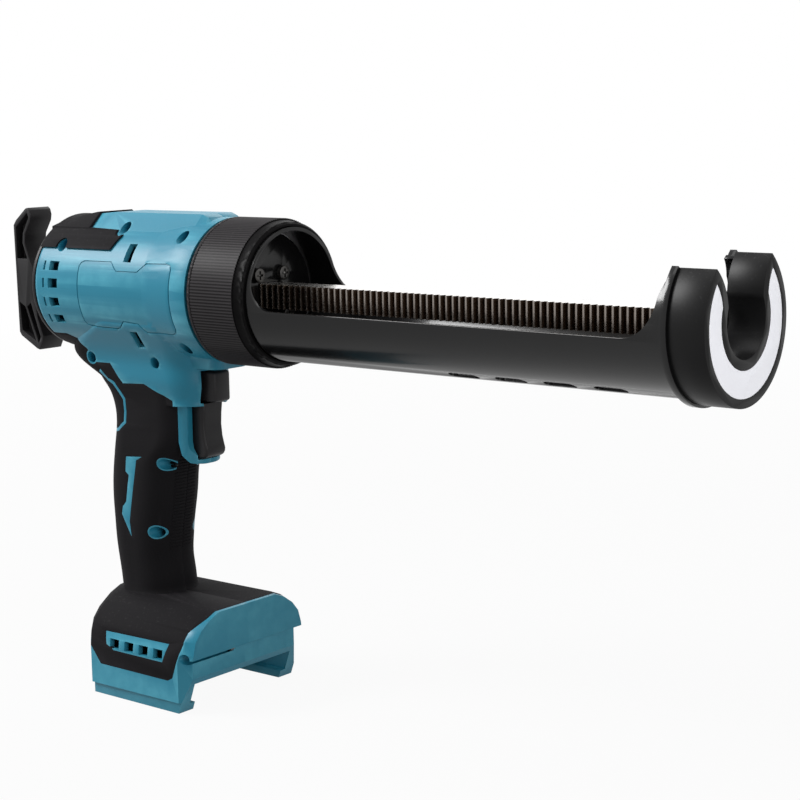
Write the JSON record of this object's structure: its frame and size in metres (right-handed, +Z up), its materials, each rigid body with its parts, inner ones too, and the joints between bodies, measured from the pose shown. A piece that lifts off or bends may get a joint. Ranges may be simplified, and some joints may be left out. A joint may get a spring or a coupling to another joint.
{
  "type": "cordless caulking tool",
  "caption": "Pistol-grip cordless caulking tool: geared motor drives a toothed ram through an open cartridge cradle with a notched nose and a ring light.",
  "frame": {"origin": "on the cartridge axis, at the front face of the spigot that the cradle seats on", "axes": "+X along the ram towards the nozzle, +Z up away from the foot, Y across the seam of the housing"},
  "size_m": [0.3811, 0.074, 0.2126],
  "materials": {
    "teal_shell": "satin moulded plastic",
    "black_skin": "soft overmould",
    "black_plastic": "moulded plastic",
    "black_paint": "gloss black",
    "cast_alloy": "as cast",
    "rack_steel": "milled",
    "bright_steel": "plated",
    "bush_brass": "turned",
    "white_window": "milky",
    "circuit_board": "solder mask"
  },
  "bodies": {
    "body": {"housing_right": "teal_shell", "housing_left": "teal_shell", "grip_overmould_right": "black_skin", "grip_overmould_left": "black_skin", "top_overmould_right": "black_skin", "top_overmould_left": "black_skin", "rear_cover": "black_plastic", "housing_screws": "bright_steel", "front_spigot": "cast_alloy", "back_plate": "black_paint", "back_plate_screws": "bright_steel", "gear_frame": "cast_alloy", "gearbox_case": "cast_alloy", "motor_can": "bright_steel", "motor_end_bell": "black_plastic", "lower_bush": "bush_brass", "upper_bush": "bush_brass", "trigger_switch": "black_plastic", "control_board": "circuit_board", "terminal_block": "black_plastic", "terminal_blades": "bush_brass"},
    "ram": {"rack": "rack_steel", "piston_plate": "bright_steel", "piston_screw": "bright_steel", "pull_handle": "black_plastic", "pull_handle_screw": "bright_steel"},
    "drive": {"drive_shaft": "bright_steel", "driven_gear": "bright_steel", "rack_pinion": "bright_steel"},
    "output": {"gearbox_shaft": "bright_steel", "output_gear": "bright_steel"},
    "trigger_body": {"trigger": "black_plastic", "switch_plunger": "bright_steel"},
    "selector": {"direction_selector": "black_plastic"},
    "collar": {"locking_collar": "black_plastic"},
    "cradle": {"cartridge_holder": "black_paint", "nose_cap": "black_plastic", "light_diffuser": "white_window", "led_board": "circuit_board", "leds": "white_window", "nose_screws": "bright_steel"}
  },
  "joints": [
    {"name": "rack_slide", "type": "slide", "parent": "body", "child": "ram", "axis": [1, 0, 0], "range_m": [-0.195, 0]},
    {"name": "drive_spin", "type": "hinge", "parent": "body", "child": "drive", "pos_m": [-0.06231, -0.0125, 0], "axis": [0, 0, 1], "continuous": true},
    {"name": "output_spin", "type": "hinge", "parent": "body", "child": "output", "pos_m": [-0.0706, 0, -0.0116], "axis": [0, 0, 1], "continuous": true},
    {"name": "trigger_pull", "type": "slide", "parent": "body", "child": "trigger_body", "axis": [-1, 0, 0], "range_m": [0, 0.0055], "stiffness_N_per_m": 600, "springref_m": -0.008},
    {"name": "selector_slide", "type": "slide", "parent": "body", "child": "selector", "axis": [0, 1, 0], "range_m": [-0.0025, 0.0025]},
    {"name": "collar_turn", "type": "hinge", "parent": "body", "child": "collar", "pos_m": [-0.004, 0, 0], "axis": [1, 0, 0], "range_deg": [0, 120]},
    {"name": "cradle_turn", "type": "hinge", "parent": "body", "child": "cradle", "pos_m": [0, 0, 0], "axis": [1, 0, 0], "continuous": true}
  ],
  "couplings": [
    {"joint": "drive_spin", "follows": "rack_slide", "rad_per_m": -142.86},
    {"joint": "output_spin", "follows": "rack_slide", "rad_per_m": 214.29}
  ]
}
